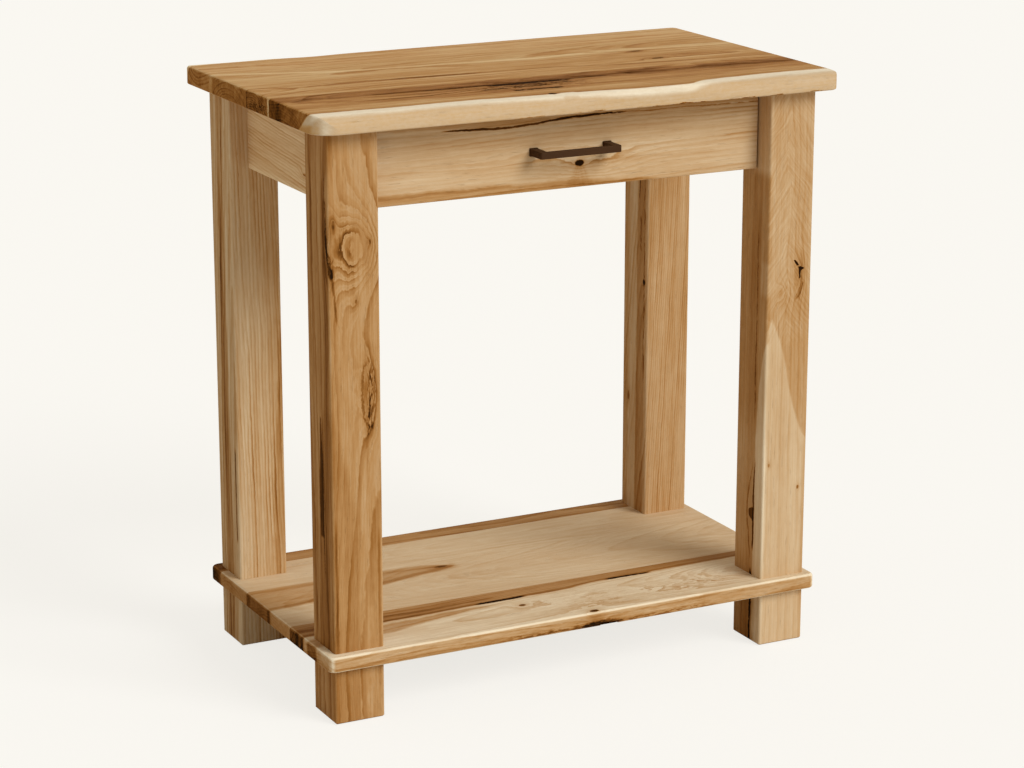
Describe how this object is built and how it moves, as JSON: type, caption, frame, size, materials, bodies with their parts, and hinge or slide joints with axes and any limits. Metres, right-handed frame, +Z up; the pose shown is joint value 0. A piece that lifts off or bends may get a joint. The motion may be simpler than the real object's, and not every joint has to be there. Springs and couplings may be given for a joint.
{
  "type": "side table",
  "caption": "Rustic side table with a natural-edge plank top, square posts, a low plank shelf on short feet, and a drawer on telescopic slides with a bar pull.",
  "frame": {"origin": "on the floor, under the middle of the table", "axes": "+Z up, the drawer opens towards -Y, +X to the right of someone facing the drawer"},
  "size_m": [0.718, 0.418, 0.762],
  "materials": {
    "top_golden_wood": "satin clear coat on golden heartwood",
    "top_brown_wood": "satin clear coat on brown heartwood with a pale natural edge",
    "post_wood": "satin clear coat on knotty heartwood",
    "pale_post_wood": "satin clear coat on pale straight-grained wood",
    "shelf_wood": "satin clear coat on pale sapwood with brown streaks",
    "dark_edge_wood": "satin clear coat on dark heartwood",
    "apron_wood": "satin clear coat on tan wood",
    "drawer_front_wood": "satin clear coat on pale wavy-grained wood",
    "inner_wood": "bare pale hardwood",
    "plywood": "bare plywood",
    "zinc_steel": "bright zinc plate",
    "screw_steel": "yellow zinc plate",
    "bronze_pull": "dark bronze, satin",
    "glide_nylon": "moulded nylon"
  },
  "bodies": {
    "frame": {"apron_back": "apron_wood", "apron_left": "apron_wood", "apron_right": "apron_wood", "cabinet_slide_screws": "zinc_steel", "cleat_screws": "screw_steel", "clip_screws": "screw_steel", "foot_back_left": "pale_post_wood", "foot_back_right": "pale_post_wood", "foot_front_left": "post_wood", "foot_front_right": "post_wood", "foot_glides": "glide_nylon", "front_stretcher": "inner_wood", "lag_screws": "zinc_steel", "lag_washers": "zinc_steel", "post_back_left": "pale_post_wood", "post_back_right": "pale_post_wood", "post_front_left": "post_wood", "post_front_right": "post_wood", "shelf_board_back": "dark_edge_wood", "shelf_board_front": "shelf_wood", "shelf_board_mid_back": "shelf_wood", "shelf_board_mid_front": "shelf_wood", "shelf_dowels": "inner_wood", "slide_cabinet_left": "zinc_steel", "slide_cabinet_right": "zinc_steel", "slide_cleat_left": "inner_wood", "slide_cleat_right": "inner_wood", "stretcher_screws": "screw_steel", "tabletop_clips": "zinc_steel", "top_board_back": "top_golden_wood", "top_board_front": "top_brown_wood", "top_board_mid_back": "top_golden_wood", "top_board_mid_front": "top_brown_wood"},
    "drawer": {"drawer_front": "drawer_front_wood", "drawer_box_front": "inner_wood", "drawer_back": "inner_wood", "drawer_side_left": "inner_wood", "drawer_side_right": "inner_wood", "drawer_bottom": "plywood", "pull": "bronze_pull", "pull_screws": "screw_steel", "drawer_front_screws": "screw_steel", "drawer_slide_screws": "zinc_steel", "slide_drawer_left": "zinc_steel", "slide_drawer_right": "zinc_steel"},
    "middle_left": {"slide_middle_left": "zinc_steel"},
    "outer_cage_left": {"ball_cage_outer_left": "zinc_steel"},
    "inner_cage_left": {"ball_cage_inner_left": "zinc_steel"},
    "middle_right": {"slide_middle_right": "zinc_steel"},
    "outer_cage_right": {"ball_cage_outer_right": "zinc_steel"},
    "inner_cage_right": {"ball_cage_inner_right": "zinc_steel"}
  },
  "joints": [
    {"name": "drawer_travel", "type": "slide", "parent": "frame", "child": "drawer", "axis": [0, -1, 0], "range_m": [0, 0.24]},
    {"name": "middle_left_travel", "type": "slide", "parent": "frame", "child": "middle_left", "axis": [0, -1, 0], "range_m": [0, 0.12]},
    {"name": "outer_cage_left_travel", "type": "slide", "parent": "frame", "child": "outer_cage_left", "axis": [0, -1, 0], "range_m": [0, 0.06]},
    {"name": "inner_cage_left_travel", "type": "slide", "parent": "frame", "child": "inner_cage_left", "axis": [0, -1, 0], "range_m": [0, 0.18]},
    {"name": "middle_right_travel", "type": "slide", "parent": "frame", "child": "middle_right", "axis": [0, -1, 0], "range_m": [0, 0.12]},
    {"name": "outer_cage_right_travel", "type": "slide", "parent": "frame", "child": "outer_cage_right", "axis": [0, -1, 0], "range_m": [0, 0.06]},
    {"name": "inner_cage_right_travel", "type": "slide", "parent": "frame", "child": "inner_cage_right", "axis": [0, -1, 0], "range_m": [0, 0.18]}
  ],
  "couplings": [
    {"joint": "middle_left_travel", "follows": "drawer_travel", "ratio": 0.5},
    {"joint": "outer_cage_left_travel", "follows": "drawer_travel", "ratio": 0.25},
    {"joint": "inner_cage_left_travel", "follows": "drawer_travel", "ratio": 0.75},
    {"joint": "middle_right_travel", "follows": "drawer_travel", "ratio": 0.5},
    {"joint": "outer_cage_right_travel", "follows": "drawer_travel", "ratio": 0.25},
    {"joint": "inner_cage_right_travel", "follows": "drawer_travel", "ratio": 0.75}
  ]
}
